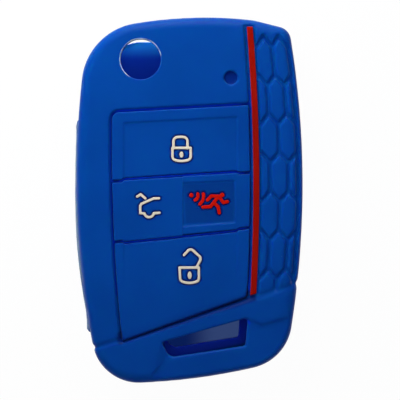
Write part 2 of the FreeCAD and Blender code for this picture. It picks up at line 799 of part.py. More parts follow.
def make_trunk_icon(surface):
    """A car's tail with its lid up."""
    width = PANIC_LEFT - PANEL_LEFT
    icon = Icon("trunk", (PANEL_LEFT, UNLOCK_DIVIDER.middle), (width, MIDDLE_HEIGHT), TRUNK_ICON_SHARES,
                width * TRUNK_ICON_SIZE_SHARE, surface)
    finish(icon.line("lid", TRUNK_LID_SHARES, lifted=size.icon_stroke + size.lid_clearance), "trunk_icon_lid")
    finish(icon.line("car", TRUNK_CAR_SHARES, TRUNK_CAR_BOW_SHARES), "trunk_icon_car")
    return icon


def make_panic_icon(surface):
    """A running figure and a source of sound."""
    width = PANEL_RIGHT - PANIC_LEFT
    icon = Icon("panic", (PANIC_LEFT, UNLOCK_DIVIDER.middle), (width, MIDDLE_HEIGHT), PANIC_ICON_SHARES,
                width * PANIC_ICON_SIZE_SHARE, surface, size.panic_stroke)
    finish(icon.dot("source", PANIC_DOT_SHARES, icon.unit * PANIC_DOT_RADIUS_SHARE), "panic_icon_dot")
    finish(icon.line("inner_wave", PANIC_WAVE_INNER_SHARES, PANIC_WAVE_INNER_BOW_SHARES),
           "panic_icon_inner_wave")
    finish(icon.line("outer_wave", PANIC_WAVE_OUTER_SHARES, PANIC_WAVE_OUTER_BOW_SHARES),
           "panic_icon_outer_wave")
    head_radius = icon.unit * RUNNER_HEAD_REACH_SHARE - icon.half_stroke
    limbs = [icon.line("rear_arm", RUNNER_REAR_ARM_SHARES), icon.line("rear_leg", RUNNER_REAR_LEG_SHARES),
             icon.line("front_arm", RUNNER_FRONT_ARM_SHARES), icon.line("front_leg", RUNNER_FRONT_LEG_SHARES),
             icon.dot("head", RUNNER_HEAD_SHARES, head_radius)]
    finish(fuse("panic_runner", *limbs), "panic_icon_runner")
    return icon


# Button pads, each with its finger rest and its icon's recesses

DISH_FLOOR = FACE - size.dish_depth
CLEAR_ABOVE = FACE + size.overrun


def make_lock_pad():
    dish = prism("lock_dish", [
        (JOG_LEFT, LOCK_DIVIDER.at(JOG_LEFT) - size.overrun),
        (JOG_RIGHT, LOCK_DIVIDER.at(JOG_RIGHT) - size.overrun),
        (JOG_RIGHT, PANEL_TOP.at(JOG_RIGHT) - size.lock_dish_margin),
        (JOG_LEFT, PANEL_TOP.at(JOG_LEFT) - size.lock_dish_margin),
    ], DISH_FLOOR, CLEAR_ABOVE)
    block = lock_zone("lock_block", -HALF_GROOVE, FACE_INSIDE, FACE)
    finish(cut("lock_pad", block, dish, *make_lock_icon(DISH_FLOOR).recesses), "lock_button_pad")


def make_trunk_pad():
    block = trunk_zone("trunk_block", -HALF_GROOVE, FACE_INSIDE, FACE)
    finish(cut("trunk_pad", block, *make_trunk_icon(FACE).recesses), "trunk_button_pad")


def make_panic_pad():
    right = PANEL_RIGHT - size.panic_right_margin
    left = PANIC_LEFT - size.overrun
    dish = prism("panic_dish", [
        (left, UNLOCK_DIVIDER.at(PANIC_LEFT) + size.panic_margin),
        (right, UNLOCK_DIVIDER.at(right) + size.panic_margin),
        (right, LOCK_DIVIDER.at(right) - size.panic_margin),
        (left, LOCK_DIVIDER.at(PANIC_LEFT) - size.panic_margin),
    ], DISH_FLOOR, CLEAR_ABOVE)
    block = panic_zone("panic_block", -HALF_GROOVE, FACE_INSIDE, FACE)
    finish(cut("panic_pad", block, dish, *make_panic_icon(DISH_FLOOR).recesses), "panic_button_pad")


def make_unlock_pad():
    """The lowest pad: its finger rest runs out towards the band."""
    dish = doc.addObject("Part::Box", "unlock_dish")
    dish.Placement.Rotation = FreeCAD.Rotation(Vector(1, 0, 0), 0)
    bind(dish, "Length", JOG_RIGHT - JOG_LEFT)
    bind(dish, "Width", UNLOCK_DISH_HEIGHT + size.overrun + size.unlock_divider_rise)
    bind(dish, "Height", size.overrun)
    place(dish, JOG_LEFT, UNLOCK_DIVIDER.middle - UNLOCK_DISH_HEIGHT, FACE)
    dish.setExpression("Placement.Rotation.Angle",
                       f"atan({(-size.dish_depth).text} / {UNLOCK_DISH_HEIGHT.text})")
    block = unlock_zone("unlock_block", -HALF_GROOVE, FACE_INSIDE, FACE)
    surface = FACE - size.dish_depth / 2
    finish(cut("unlock_pad", block, dish, *make_unlock_icon(surface).recesses), "unlock_button_pad")


# The stripe and its channel

def stripe_block(name, left, right, low_end, high_end, low, high):
    """A bowed bar along the stripe, from the band to near the sleeve's top."""
    low_left, low_right = BAND.at(left) + low_end, BAND.at(right) + low_end
    return prism(name, [
        (along_stripe(left, low_left), low_left), (along_stripe(right, low_right), low_right),
        (along_stripe(right, high_end), high_end), (along_stripe(left, high_end), high_end),
    ], low, high, {1: size.panel_bow_radius, 3: -size.panel_bow_radius})


STRIPE_FLOOR = FACE - size.groove_depth
STRIPE_TOP_END = TOP - size.stripe_from_top


def make_stripe():
    """The stripe, whose upper end follows the sleeve's rounded edge."""
    crest = FACE + size.stripe_proud
    stripe = doc.addObject("Part::Common", "stripe_bar")
    stripe.Base = stripe_block("stripe", STRIPE_LEFT, STRIPE_RIGHT, size.band_width / 2, STRIPE_TOP_END,
                               STRIPE_FLOOR, crest)
    stripe.Tool = form("stripe_cover", -size.stripe_proud, ZERO, crest, size.front_round + size.stripe_proud)
    doc.recompute()
    finish(stripe, "accent_stripe")


# Cuts in the sleeve

def make_hinge_opening():
    """The open corner round the blade's hinge: side wall and back rim are cut away there."""
    low, high = TOP - size.lip_from_top, TOP + size.overrun
    corner = prism("hinge_corner", [
        (LEFT - size.overrun, low), (LEFT + size.hinge_reach, low),
        (LEFT + size.hinge_reach, high), (LEFT - size.overrun, high),
    ], -size.overrun, BLADE_LEVEL + size.blade_slot_height / 2)
    side = LEFT + size.lip_height
    far = LEFT + size.hinge_reach + size.overrun
    kept = prism("hinge_kept", [
        (side + size.hinge_rim, low - size.overrun), (far, low - size.overrun), (far, TOP - size.hinge_rim),
        (side + size.top_left_corner, TOP - size.hinge_rim),
        (side + size.hinge_rim, TOP - size.top_left_corner),
    ], -size.overrun * 2, FACE, {3: size.top_left_corner - size.hinge_rim})
    return cut("hinge_opening", corner, kept)


def make_blade_slot():
    """The long slot in the left side, rounded at its lower end and open to the hinge corner."""
    half = size.blade_slot_height / 2
    low_end = BOTTOM + size.lip_from_bottom + size.lip_rim
    high_end = TOP - size.lip_from_top + size.overrun
    body, sketch = new_body("blade_slot")
    draw(sketch, [(LEFT - size.overrun, low_end), (PANEL_LEFT, low_end),
                  (PANEL_LEFT, high_end), (LEFT - size.overrun, high_end)])
    pad = pad_up(body, sketch, BLADE_LEVEL - half, BLADE_LEVEL + half)

    def low_end_edge(edge):
        level = abs(edge.Vertexes[0].X - edge.Vertexes[-1].X) > size.overrun.value
        return level and all(math.isclose(v.Y, low_end.value, abs_tol=1e-4) for v in edge.Vertexes)

    round_edges(body, pad, low_end_edge, size.blade_slot_round)
    return body


def make_lip():
    """The raised lip round the blade slot, ramped at its upper end and rounded over into the side."""
    low_end, high_end = BOTTOM + size.lip_from_bottom, TOP - size.lip_from_top
    radius = size.left_bow_radius + size.lip_height
    root = LEFT + size.lip_root

    def outside(y):
        return LEFT + (y - size.left_bow_height) * (y - size.left_bow_height) / (radius * 2)

    ramp_end = high_end - size.lip_ramp
    top = FACE - size.lip_from_face
    body, sketch = new_body("lip")
    draw(sketch, [(outside(low_end), low_end), (root, low_end), (root, high_end),
                  (outside(high_end) + size.lip_height, high_end),
                  (outside(ramp_end), ramp_end)], {4: radius})
    pad = pad_up(body, sketch, BLADE_LEVEL - size.blade_slot_height / 2 - size.lip_rim, top)

    def outer_edge(edge):
        ends = sorted(v.Y for v in edge.Vertexes)
        return edges_at_height(top)(edge) and all(
            math.isclose(y, end.value, abs_tol=1e-4) for y, end in zip(ends, (low_end, ramp_end)))

    round_edges(body, pad, outer_edge, size.lip_round)
    return body


def slot_outline(step):
    """The key ring slot's outline, with its right end drawn in by the step."""
    low_right = (RIGHT - size.slot_from_right - size.slot_side_lean - step, BOTTOM + size.slot_from_bottom)
    high_right = (RIGHT - size.slot_from_right - step, low_right[1] + size.slot_side_height)
    high_left = (high_right[0] + step - size.slot_length, high_right[1] - size.slot_top_rise)
    low_left = (low_right[0] + step - size.slot_bottom_run, low_right[1] - size.slot_bottom_rise)
    end = (low_left[0] - size.slot_end_run, low_left[1] + size.slot_end_rise)
    return [low_right, high_right, high_left, end, low_left]


def make_slot_windows():
    """The key ring slot: a window in the front wall and a shorter one in the back wall."""
    front = prism("slot_front", slot_outline(ZERO), FACE_INSIDE - size.overrun, CLEAR_ABOVE)
    back = prism("slot_back", slot_outline(size.slot_back_step), -size.overrun, size.wall + size.overrun)
    return front, back


def make_scoop():
    """The hollow that runs from the key ring slot out over the sleeve's lower end."""
    _, high_right, _, end, _ = slot_outline(ZERO)
    crease = (end[0] - size.crease_run, end[1] - size.crease_fall)
    inner = (high_right[0] + size.scoop_right_run, high_right[1] - size.scoop_right_fall)
    outer = (inner[0] + size.scoop_edge_run, inner[1] + size.scoop_edge_rise)
    return prism("scoop", [
        end, crease, (crease[0], BOTTOM - size.overrun), (RIGHT + size.overrun, BOTTOM - size.overrun),
        (RIGHT + size.overrun, outer[1]), outer, inner, high_right,
    ], FACE - size.scoop_depth, CLEAR_ABOVE)


def make_band_groove():
    """The groove that runs round the sleeve, front, sides and back, along the band line."""
    half = size.band_width / 2
    left, right = LEFT - size.overrun, RIGHT + size.overrun
    block = prism("band_block", [
        (left, BAND.at(left) - half), (right, BAND.at(right) - half),
        (right, BAND.at(right) + half), (left, BAND.at(left) + half),
    ], -size.overrun, CLEAR_ABOVE)
    return skin_cut("band_groove", block, size.band_depth)


def drawn_in(points, insets):
    """A convex outline, counter-clockwise, with each side moved in by its own inset."""
    lines = []
    for i, inset in enumerate(insets):
        start, end = points[i], points[(i + 1) % len(points)]
        inward = Vector(start.y - end.y, end.x - start.x, 0).normalize()
        lines.append((start + inward * inset, end - start))
    corners = []
    for i, (start, along) in enumerate(lines):
        before, before_along = lines[i - 1]
        turn = before_along.cross(along).z
        corners.append(before + before_along * ((start - before).cross(along).z / turn))
    return corners


def grip_cells():
    """The honeycomb's cells, each an outline and a list of which of its sides are grooves.

    Rows of two whole cells alternate with rows of one whole cell between two halves. A cell's
    places across the grip are shares of the grip's width at that height, so the cells follow the
    stripe on one side and the sleeve's edge on the other.
    """
    half_side = size.cell_side.value / 2
    half_height = half_side + size.cell_point.value
    first = (TOP - size.grip_first_row).value
    pitch = (size.cell_side + size.cell_point).value
    rows = math.ceil((first - BAND.at(STRIPE_RIGHT).value) / pitch)

    def spot(share, y):
        left = along_stripe(STRIPE_RIGHT + size.stripe_gap, Dim.of(y)).value
        draw_in = (y - size.right_bow_height.value) ** 2 / (2 * size.right_bow_radius.value)
        right = (RIGHT - size.grip_from_right).value - draw_in
        return Vector(left + share * (right - left), y, 0)

    for row in range(rows):
        middle = first - row * pitch
        for share in (PAIR_ROW_SHARES if row % 2 == 0 else SINGLE_ROW_SHARES):
            west, east = max(share - HALF_CELL_SHARE, 0.0), min(share + HALF_CELL_SHARE, 1.0)
            corners = [(share, middle - half_height)]
            if east > share:
                corners += [(east, middle - half_side), (east, middle + half_side)]
            corners.append((share, middle + half_height))
            if west < share:
                corners += [(west, middle + half_side), (west, middle - half_side)]
            at_stripe = [a[0] == 0.0 and b[0] == 0.0 for a, b in zip(corners, corners[1:] + corners[:1])]
            yield [spot(*corner) for corner in corners], [not edge for edge in at_stripe]


def make_grip():
    """The honeycomb's network of grooves, down to the band and no deeper than its depth."""
    half, low = size.grip_groove.value / 2, (FACE / 2).value
    rise = Vector(0, 0, CLEAR_ABOVE.value - low)

    def block(points):
        spots = [Vector(p.x, p.y, low) for p in points]
        return Part.Face(Part.makePolygon(spots + spots[:1])).extrude(rise)

    grown, cells = [], []
    for points, grooved in grip_cells():
        grown.append(block(drawn_in(points, [-half if side else 0 for side in grooved])))
        cells.append(block(drawn_in(points, [half if side else 0 for side in grooved])))
    left, right = LEFT, RIGHT + size.overrun
    below = block([Vector(x.value, y.value, 0) for x, y in (
        (left, BOTTOM), (right, BOTTOM), (right, BAND.at(right)), (left, BAND.at(left)))])
    network = doc.addObject("Part::Feature", "grip_network")
    network.Shape = grown[0].multiFuse(grown[1:]).cut(Part.makeCompound(cells)).cut(below)
    return skin_cut("grip_grooves", network, size.grip_depth)


def make_round_cuts():
    """The hole over the release button and the dimple over the lamp."""
    hole = doc.addObject("Part::Cylinder", "release_hole")
    bind(hole, "Radius", size.release_hole_radius)
    bind(hole, "Height", size.wall + size.overrun * 2)
    place(hole, LEFT + size.release_from_left, TOP - size.release_from_top, FACE_INSIDE - size.overrun)
    dimple = doc.addObject("Part::Cylinder", "lamp_dimple")
    bind(dimple, "Radius", size.lamp_dimple_radius)
    bind(dimple, "Height", size.lamp_dimple_depth + size.overrun)
    place(dimple, RIGHT - size.lamp_from_right, TOP - size.lamp_from_top, FACE - size.lamp_dimple_depth)
    return hole, dimple


def make_panel_cuts():
    """The pads' windows, and the wider channels above them that leave a web round each pad."""
    zones = {"lock": lock_zone, "middle": middle_zone, "unlock": unlock_zone}
    through = FACE_INSIDE - size.overrun
    cuts = []
    for name, make in zones.items():
        cuts.append(make(f"{name}_window", size.pad_seam - HALF_GROOVE, through, CLEAR_ABOVE))
        cuts.append(make(f"{name}_channel", HALF_GROOVE, STRIPE_FLOOR, CLEAR_ABOVE))
    return cuts


def make_sleeve():
    outer = form("outer_form", ZERO, ZERO, FACE, size.front_round, size.back_round)
    blank = fuse("sleeve_blank", outer, make_lip())
    stripe_channel = stripe_block("stripe_channel", STRIPE_LEFT - size.stripe_left_gap,
                                  STRIPE_RIGHT + size.stripe_gap, ZERO, STRIPE_TOP_END + size.stripe_gap,
                                  STRIPE_FLOOR, CLEAR_ABOVE)
    finish(cut("sleeve", blank, skin("hollow", size.wall), make_hinge_opening(), make_blade_slot(),
               *make_slot_windows(), *make_round_cuts(), make_scoop(), make_band_groove(), make_grip(),
               stripe_channel, *make_panel_cuts()), "sleeve")


def check_and_write():
    """Refuse to write anything unless every object is sound."""
    doc.recompute()
    failed = [o.Name for o in doc.Objects if "Invalid" in o.State or "Error" in o.State]
    if failed:
        raise RuntimeError(f"objects failed: {failed}")
    for item in SUB_PARTS:
        shape = item.Shape
        if shape.isNull() or not shape.isValid() or len(shape.Solids) != 1:
            raise RuntimeError(f"{item.Label} is not one sound solid")
    os.makedirs("parts", exist_ok=True)
    for item in SUB_PARTS:
        item.Shape.exportStep(os.path.join("parts", f"{item.Label}.step"))
        print(f"{item.Label}: {item.Shape.Volume:.2f} mm3")


make_sleeve()
make_lock_pad()
make_trunk_pad()
make_panic_pad()
make_unlock_pad()
make_stripe()
check_and_write()
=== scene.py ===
"""A soft key fob cover in blue silicone, with its stripe, button pads and icons, on a white table."""

import logging
import math
from dataclasses import dataclass
from enum import Enum

import bpy
import numpy
from mathutils import Matrix, Vector, kdtree

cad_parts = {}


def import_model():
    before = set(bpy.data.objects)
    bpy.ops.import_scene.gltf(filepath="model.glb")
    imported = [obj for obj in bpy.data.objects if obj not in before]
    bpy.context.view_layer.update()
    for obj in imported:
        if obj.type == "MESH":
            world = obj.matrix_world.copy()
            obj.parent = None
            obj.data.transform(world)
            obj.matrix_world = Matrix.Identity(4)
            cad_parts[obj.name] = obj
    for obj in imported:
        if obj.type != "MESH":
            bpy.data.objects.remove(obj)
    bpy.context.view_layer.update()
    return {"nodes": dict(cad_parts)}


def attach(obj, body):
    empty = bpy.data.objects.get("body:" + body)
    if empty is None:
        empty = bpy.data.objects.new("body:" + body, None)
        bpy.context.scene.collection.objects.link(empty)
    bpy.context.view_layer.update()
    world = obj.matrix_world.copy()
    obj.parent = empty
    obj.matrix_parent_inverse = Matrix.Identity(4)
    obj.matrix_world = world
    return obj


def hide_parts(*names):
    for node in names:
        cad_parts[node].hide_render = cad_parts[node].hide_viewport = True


log = logging.getLogger("key_fob_cover")

Colour = tuple[float, float, float, float]
Point = tuple[float, float, float]
Pair = tuple[float, float]
Socket = bpy.types.NodeSocket
Piece = bpy.types.Object

MM = 0.001
PURE_WHITE = (1.0, 1.0, 1.0, 1.0)
CLOUD_RANGE = (0.3, 0.7)
WELD_GAP = 0.001
SHARP_ANGLE = math.radians(60)
HOLLOW = "hollow"
INLAY_SHADOW = "inlay_shadow"


class Slot(Enum):
    """The record's material slots."""

    BLUE = "blue_silicone"
    WHITE = "white_silicone"
    RED = "red_silicone"


def mm(across: float, along: float, up: float) -> Point:
    """Three lengths in millimetres, turned into metres."""
    return across * MM, along * MM, up * MM


def srgb(red: int, green: int, blue: int) -> Colour:
    """Turn a screen colour into the linear colour that a shader takes.

    Args:
        red: the red level, 0 to 255.
        green: the green level, 0 to 255.
        blue: the blue level, 0 to 255.

    Returns:
        The linear colour, with full opacity.
    """
    def linear(level: int) -> float:
        """One level on the linear scale."""
        share = level / 255
        return share / 12.92 if share <= 0.04045 else ((share + 0.055) / 1.055) ** 2.4

    return linear(red), linear(green), linear(blue), 1.0


class Graph:
    """A material's node tree, with short calls to add and join nodes."""

    def __init__(self, name: str) -> None:
        """Start a material with no nodes but its output.

        Args:
            name: the material's name.
        """
        self.material = bpy.data.materials.new(name)
        self.material.use_nodes = True
        self.tree = self.material.node_tree
        self.tree.nodes.clear()
        self.output = self.tree.nodes.new("ShaderNodeOutputMaterial")

    def add(self, kind: str, inputs: dict | None = None, **settings: object) -> bpy.types.Node:
        """Add a node.

        Args:
            kind: the node's type.
            inputs: values or other nodes' sockets, by the input's name or number.
            settings: the node's own settings.

        Returns:
            The new node.
        """
        node = self.tree.nodes.new(kind)
        for name, value in settings.items():
            setattr(node, name, value)
        for key, value in (inputs or {}).items():
            if isinstance(value, Socket):
                self.tree.links.new(value, node.inputs[key])
            else:
                node.inputs[key].default_value = value
        return node

    def finish(self, shader: bpy.types.Node) -> bpy.types.Material:
        """Join a shader to the output.

        Args:
            shader: the last node.

        Returns:
            The finished material.
        """
        self.tree.links.new(shader.outputs[0], self.output.inputs[0])
        return self.material

    def math(self, operation: str, *values: object) -> Socket:
        """Add a sum.

        Args:
            operation: the Math node's operation.
            values: numbers or sockets.

        Returns:
            The result's socket.
        """
        return self.add("ShaderNodeMath", dict(enumerate(values)), operation=operation).outputs[0]

    def product(self, whole: object, *factors: object) -> Socket:
        """Multiply several values.

        Args:
            whole: the first number or socket.
            factors: the other numbers or sockets.

        Returns:
            The product's socket.
        """
        for factor in factors:
            whole = self.math("MULTIPLY", whole, factor)
        return whole

    def spread(self, value: Socket, low: float, high: float, to_low: float, to_high: float) -> Socket:
        """Map one range of a value smoothly to another, clamped at its ends.

        Args:
            value: the socket to map.
            low: the start of its range.
            high: the end of its range.
            to_low: what the start becomes.
            to_high: what the end becomes.

        Returns:
            The result's socket.
        """
        node = self.add("ShaderNodeMapRange", {"Value": value, "From Min": low, "From Max": high,
                                               "To Min": to_low, "To Max": to_high},
                        interpolation_type="SMOOTHSTEP")
        return node.outputs["Result"]

    def mix(self, share: Socket, first: object, second: object) -> Socket:
        """Mix two colours.

        Args:
            share: the second colour's share.
            first: a colour or its socket.
            second: a colour or its socket.

        Returns:
            The mixed colour's socket.
        """
        return self.add("ShaderNodeMix", {0: share, 6: first, 7: second}, data_type="RGBA").outputs[2]

    def noise(self, coords: Socket, pitch: float, detail: float = 2.0) -> Socket:
        """Add a cloudy pattern.

        Args:
            coords: where it is read.
            pitch: the size of its patches, in metres.
            detail: how many finer layers it has.

        Returns:
            The pattern's value.
        """
        node = self.add("ShaderNodeTexNoise", {"Vector": coords, "Scale": 1 / pitch, "Detail": detail})
        return node.outputs[0]

    def read(self, attribute: str) -> Socket:
        """Read a number that the piece's mesh carries.

        Args:
            attribute: the attribute's name.

        Returns:
            The number's socket.
        """
        return self.add("ShaderNodeAttribute", attribute_name=attribute).outputs["Fac"]

    def axes(self, coords: Socket, place: Point, turn: float) -> list[Socket]:
        """Measure from a place, along axes that are turned about the vertical.

        Args:
            coords: where the pattern is read.
            place: the place to measure from.
            turn: the axes' turn, in radians.

        Returns:
            The sockets of the three distances.
        """
        local = self.add("ShaderNodeMapping", {
            "Vector": coords, "Location": place, "Rotation": (0.0, 0.0, turn)}, vector_type="TEXTURE")
        return list(self.add("ShaderNodeSeparateXYZ", {"Vector": local.outputs[0]}).outputs)


@dataclass(frozen=True)
class PaintedRimHighlight:
    """A painted highlight: a thin pale line along an arc, such as a round hole's edge or the lip's long
    curve.
    """

    centre: Point
    radius: float
    width: float
    lowest: float
    turn_from: float
    turn_to: float
    colour: Colour
    strength: float
    fade: float = 0.25
    height_fade: float = 0.1 * MM
    patch_pitch: float = 1.1 * MM
    patch_range: Pair = (0.3, 0.6)
    patch_least: float = 0.35

    def share(self, graph: Graph, coords: Socket) -> Socket:
        """How far the painted highlight covers each place.

        Args:
            graph: the material's nodes.
            coords: where the pattern is read.

        Returns:
            The share's socket.
        """
        middle = (self.turn_from + self.turn_to) / 2
        half = (self.turn_to - self.turn_from) / 2
        across, along, up = graph.axes(coords, self.centre, middle)
        reach = graph.math("SQRT", graph.math("ADD", graph.math("MULTIPLY", across, across),
                                              graph.math("MULTIPLY", along, along)))
        off = graph.math("ABSOLUTE", graph.math("SUBTRACT", reach, self.radius))
        line = graph.spread(off, self.width / 4, self.width / 2, 1.0, 0.0)
        turn = graph.math("ABSOLUTE", graph.math("ARCTAN2", along, across))
        arc = graph.spread(turn, half - self.fade, half, 1.0, 0.0)
        front = graph.spread(up, self.lowest - self.height_fade, self.lowest, 0.0, 1.0)
        clouds = graph.noise(coords, self.patch_pitch)
        patches = graph.spread(clouds, *self.patch_range, self.patch_least, 1.0)
        return graph.product(line, arc, front, patches, self.strength)


@dataclass(frozen=True)
class PaintedLightPatch:
    """A soft-edged box in which light or shade is painted into the silicone's colour."""

    centre: Point
    half: Point
    turn: float
    colour: Colour
    strength: float
    edge: Point = mm(0.5, 0.5, 0.3)

    def share(self, graph: Graph, coords: Socket) -> Socket:
        """How far the patch's painted light or shade covers each place.

        Args:
            graph: the material's nodes.
            coords: where the patch is read.

        Returns:
            The share's socket.
        """
        sides = []
        for axis, half, edge in zip(graph.axes(coords, self.centre, self.turn), self.half, self.edge):
            sides.append(graph.spread(graph.math("ABSOLUTE", axis), half - edge, half + edge, 1.0, 0.0))
        return graph.product(self.strength, *sides)


@dataclass(frozen=True)
class Silicone:
    """A cured silicone: a nearly even colour, a soft sheen, a fine mould grain, a little dust, and any
    painted light and shade.
    """

    name: str
    slot: Slot
    colour: Colour
    shade: Colour
    dust: Colour
    rough_low: float
    rough_high: float
    gloss: float
    glow_reach: Point
    # painted shade: a darker, bluer colour deeper in the skin's hollows
    painted_hollow_shade: Colour | None = None
    hollow_depths: Pair = (0.05, 0.2)
    # painted shadow: a darker line close round the inlays
    inlay_shadow_colour: Colour | None = None
    sheen: float = 0.0
    sheen_spread: float = 0.35
    sheen_tint: Colour = (0.8, 0.9, 1.0, 1.0)
    painted_rim_highlights: tuple[PaintedRimHighlight, ...] = ()
    patches: tuple[PaintedLightPatch, ...] = ()
    cloud_pitch: float = 14 * MM
    rough_pitch: float = 14 * MM / 3
    grain_pitch: float = 0.22 * MM
    grain_height: float = 0.004 * MM
    ripple_pitch: float = 2.6 * MM
    ripple_height: float = 0.012 * MM
    dust_pitch: float = 2.4 * MM
    dust_share: float = 0.16
    dust_radius: float = 0.05
    dust_strength: float = 0.35

    def tint(self, graph: Graph, coords: Socket) -> Socket:
        """The colour: clouds, dust, and painted light and shade in hollows, boxes, round inlays and on
        rims.

        Args:
            graph: the material's nodes.
            coords: where the patterns are read.

        Returns:
            The colour's socket.
        """
        clouds = graph.spread(graph.noise(coords, self.cloud_pitch, 3.0), *CLOUD_RANGE, 0.0, 1.0)
        skin = graph.mix(clouds, self.colour, self.shade)
        # painted shade in the hollows
        if self.painted_hollow_shade:
            hollow = graph.spread(graph.read(HOLLOW), *self.hollow_depths, 0.0, 1.0)
            skin = graph.mix(hollow, skin, self.painted_hollow_shade)
        # boxes of painted light and shade
        for patch in self.patches:
            skin = graph.mix(patch.share(graph, coords), skin, patch.colour)
        # painted shadow round the inlays
        if self.inlay_shadow_colour:
            inlay_shadow = graph.spread(graph.read(INLAY_SHADOW), 0.0, 1.0, 0.0, 1.0)
            skin = graph.mix(inlay_shadow, skin, self.inlay_shadow_colour)
        skin = graph.mix(self.specks(graph, coords), skin, self.dust)
        # painted highlights along the rims, where the edges would catch the light
        for rim in self.painted_rim_highlights:
            skin = graph.mix(rim.share(graph, coords), skin, rim.colour)
        return skin

    def specks(self, graph: Graph, coords: Socket) -> Socket:
        """How far dust covers each place: a speck in a few of many cells.

        Args:
            graph: the material's nodes.
            coords: where the cells are read.

        Returns:
            The share's socket.
        """
        cells = graph.add("ShaderNodeTexVoronoi", {"Vector": coords, "Scale": 1 / self.dust_pitch})
        near = graph.spread(cells.outputs["Distance"], self.dust_radius / 2, self.dust_radius, 1.0, 0.0)
        pick = graph.add("ShaderNodeSeparateColor", {"Color": cells.outputs["Color"]})
        chosen = graph.math("LESS_THAN", pick.outputs[0], self.dust_share)
        return graph.product(near, chosen, self.dust_strength)

    def relief(self, graph: Graph, coords: Socket) -> Socket:
        """The mould's grain and a faint ripple, as a bump.

        Args:
            graph: the material's nodes.
            coords: where the patterns are read.

        Returns:
            The bumped normal's socket.
        """
        ripple = graph.add("ShaderNodeBump", {
            "Strength": 1.0, "Distance": self.ripple_height,
            "Height": graph.noise(coords, self.ripple_pitch, 1.0)})
        grain = graph.add("ShaderNodeBump", {
            "Strength": 1.0, "Distance": self.grain_height,
            "Height": graph.noise(coords, self.grain_pitch, 3.0), "Normal": ripple.outputs[0]})
        return grain.outputs[0]

    def make(self) -> bpy.types.Material:
        """Build the material.

        Returns:
            The finished material.
        """
        graph = Graph(self.name)
        coords = graph.add("ShaderNodeTexCoord").outputs["Object"]
        clouds = graph.noise(coords, self.rough_pitch, 3.0)
        return graph.finish(graph.add("ShaderNodeBsdfPrincipled", {
            "Base Color": self.tint(graph, coords),
            "Roughness": graph.spread(clouds, *CLOUD_RANGE, self.rough_low, self.rough_high),
            "Specular IOR Level": self.gloss,
            "Sheen Weight": self.sheen,
            "Sheen Roughness": self.sheen_spread,
            "Sheen Tint": self.sheen_tint,
            "Subsurface Weight": 1.0,
            "Subsurface Radius": self.glow_reach,
            "Subsurface Scale": 1.0,
            "Normal": self.relief(graph, coords),
        }))


# Painted highlights: mottled pale lines where the release hole's rim and the lip's edge would catch the
# light.
RELEASE_RIM_HIGHLIGHT = PaintedRimHighlight(mm(-10.08, 29.53, 0.0), 4.3 * MM, 0.3 * MM, 18.0 * MM, math.radians(5),
                      math.radians(242), srgb(205, 220, 238), 0.85)
LIP_RIM_HIGHLIGHT = PaintedRimHighlight(mm(164.53, 5.04, 0.0), 189.05 * MM, 1.4 * MM, 12.5 * MM, math.radians(176.2),
                  math.radians(190.2), srgb(140, 158, 178), 0.9, fade=0.01, patch_pitch=6 * MM)
# Painted light and shade in the panel's grooves: less green and bluer, standing in for light through the
# silicone into their shade.
PANEL_GROOVE_PAINTED_LIGHT_AND_SHADE = PaintedLightPatch(mm(-2.4, 1.5, 17.75), mm(15.5, 21.5, 0.42), 0.0,
                            srgb(1, 50, 165), 1.0, mm(0.5, 0.5, 0.12))
# Painted light in the divider grooves: a brighter blue where they lie in shade.
DIVIDER_GROOVE_PAINTED_LIGHT = PaintedLightPatch(mm(-1.2, -2.5, 17.75), mm(13.2, 24.0, 0.42), math.radians(2.5),
                              srgb(2, 66, 205), 1.0, mm(0.4, 0.4, 0.12))
# Painted shade along the band's groove, darker to dim its lit edge.
BAND_GROOVE_PAINTED_SHADE = PaintedLightPatch(mm(-0.6, -24.6, 17.92), mm(15.2, 1.4, 0.6), math.radians(17.5),
                           srgb(1, 40, 116), 1.0, mm(0.4, 0.4, 0.12))
# Painted light on the key ring slot's walls: a bright violet blue inside their shade.
SLOT_WALL_PAINTED_LIGHT = PaintedLightPatch(mm(4.0, -29.2, 8.6), mm(10.2, 4.4, 8.0), math.radians(12),
                         srgb(29, 68, 215), 1.0, mm(0.5, 0.5, 0.6))
# Painted shade on the panic pad's dish, where the thin wall lies over the hollow.
PANIC_FLOOR_PAINTED_SHADE = PaintedLightPatch(mm(4.45, -0.55, 18.6), mm(5.2, 4.05, 1.0), 0.05,
                          srgb(1, 60, 138), 1.0, mm(0.25, 0.25, 0.3))
# Painted shade in the lamp dimple.
LAMP_DIMPLE_PAINTED_SHADE = PaintedLightPatch(mm(8.82, 25.63, 17.8), mm(1.5, 1.5, 0.35), 0.0,
                         srgb(1, 38, 124), 1.0, mm(0.1, 0.1, 0.2))
# Painted shade on the hollow's back wall under the release hole.
HOLLOW_FLOOR_PAINTED_SHADE = PaintedLightPatch(mm(-10.9, 31.5, 2.0), mm(5.5, 5.5, 1.5), 0.0, srgb(1, 34, 150), 0.9)
# A pool of painted light on the hollow's back wall near the hinge opening.
HOLLOW_PAINTED_LIGHT = PaintedLightPatch(mm(-10.9, 36.0, 1.9), mm(6.0, 2.5, 0.5), 0.0,
                          srgb(22, 122, 206), 0.95, mm(1.0, 2.4, 0.3))
